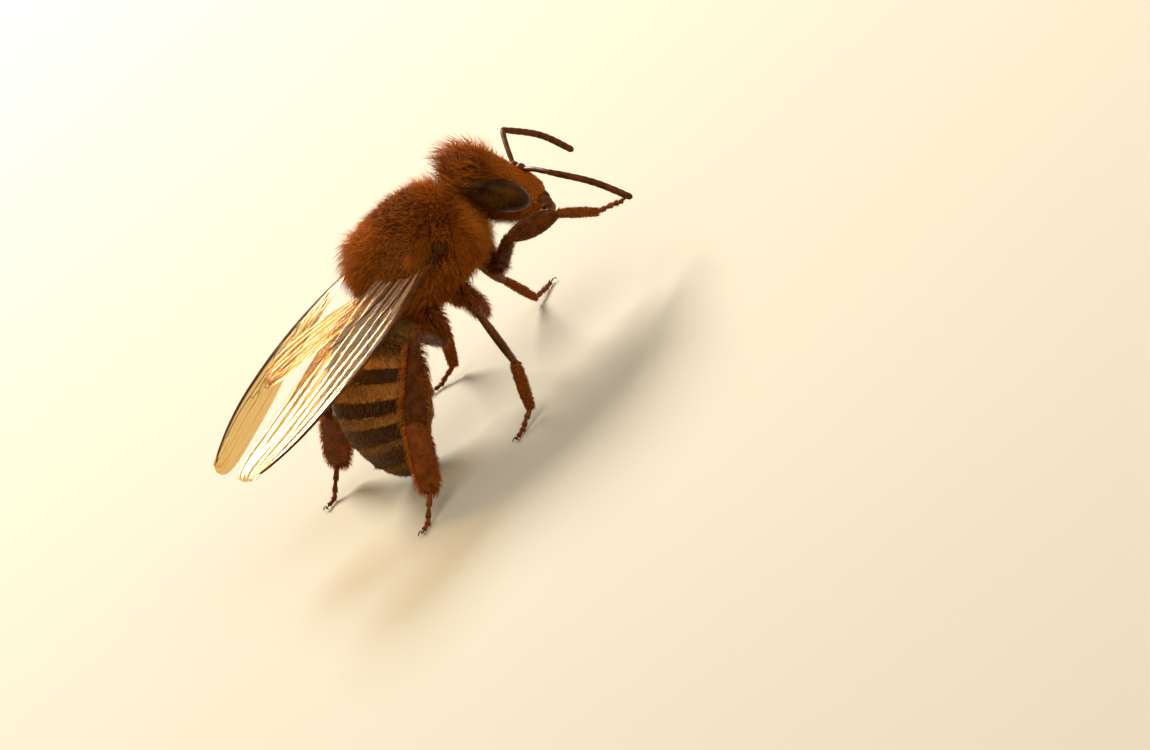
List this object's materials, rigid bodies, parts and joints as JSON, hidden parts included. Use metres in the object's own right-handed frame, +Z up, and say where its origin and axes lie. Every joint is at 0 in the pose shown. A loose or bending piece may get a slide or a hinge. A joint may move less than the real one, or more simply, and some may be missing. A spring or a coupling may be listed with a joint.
{
  "type": "honey bee",
  "caption": "Still, life-size worker honey bee that stands with its wings folded back, its abdomen bent down and one fore leg lifted.",
  "frame": {"origin": "middle of the bee's bounding box at the level of its feet", "axes": "+X ahead of the bee, +Y to its left, +Z up"},
  "size_m": [0.016, 0.01, 0.0077],
  "materials": {
    "body_coat": "dense tawny brown hair over a dark brown shell",
    "banded_coat": "brown and amber plates with bands of pale hair",
    "eye": "dark compound eye, finely faceted, softly glossy",
    "dark_shell": "black-brown shell, satin",
    "brown_shell": "red-brown to black shell with sparse hairs",
    "wing": "clear amber membrane with brown veins"
  },
  "bodies": {
    "root": {"thorax": "body_coat", "head": "body_coat", "abdomen_1": "banded_coat", "abdomen_2": "banded_coat", "abdomen_3": "banded_coat", "abdomen_4": "banded_coat", "abdomen_5": "banded_coat", "abdomen_6": "banded_coat", "eye_left": "eye", "eye_right": "eye", "flagellum_left": "dark_shell", "flagellum_right": "dark_shell", "scape_left": "brown_shell", "scape_right": "brown_shell", "mandible_left": "brown_shell", "mandible_right": "brown_shell", "proboscis": "brown_shell", "leg_fore_left_coxa": "brown_shell", "leg_fore_left_femur": "brown_shell", "leg_fore_left_tibia": "brown_shell", "leg_fore_left_basitarsus": "brown_shell", "leg_fore_left_tarsus": "brown_shell", "leg_fore_right_coxa": "brown_shell", "leg_fore_right_femur": "brown_shell", "leg_fore_right_tibia": "brown_shell", "leg_fore_right_basitarsus": "brown_shell", "leg_fore_right_tarsus": "brown_shell", "leg_mid_left_coxa": "brown_shell", "leg_mid_left_femur": "brown_shell", "leg_mid_left_tibia": "brown_shell", "leg_mid_left_basitarsus": "brown_shell", "leg_mid_left_tarsus": "brown_shell", "leg_mid_right_coxa": "brown_shell", "leg_mid_right_femur": "brown_shell", "leg_mid_right_tibia": "brown_shell", "leg_mid_right_basitarsus": "brown_shell", "leg_mid_right_tarsus": "brown_shell", "leg_hind_left_coxa": "brown_shell", "leg_hind_left_femur": "brown_shell", "leg_hind_left_tibia": "brown_shell", "leg_hind_left_basitarsus": "brown_shell", "leg_hind_left_tarsus": "brown_shell", "leg_hind_right_coxa": "brown_shell", "leg_hind_right_femur": "brown_shell", "leg_hind_right_tibia": "brown_shell", "leg_hind_right_basitarsus": "brown_shell", "leg_hind_right_tarsus": "brown_shell", "forewing_left": "wing", "forewing_right": "wing", "hindwing_left": "wing", "hindwing_right": "wing"}
  },
  "joints": []
}
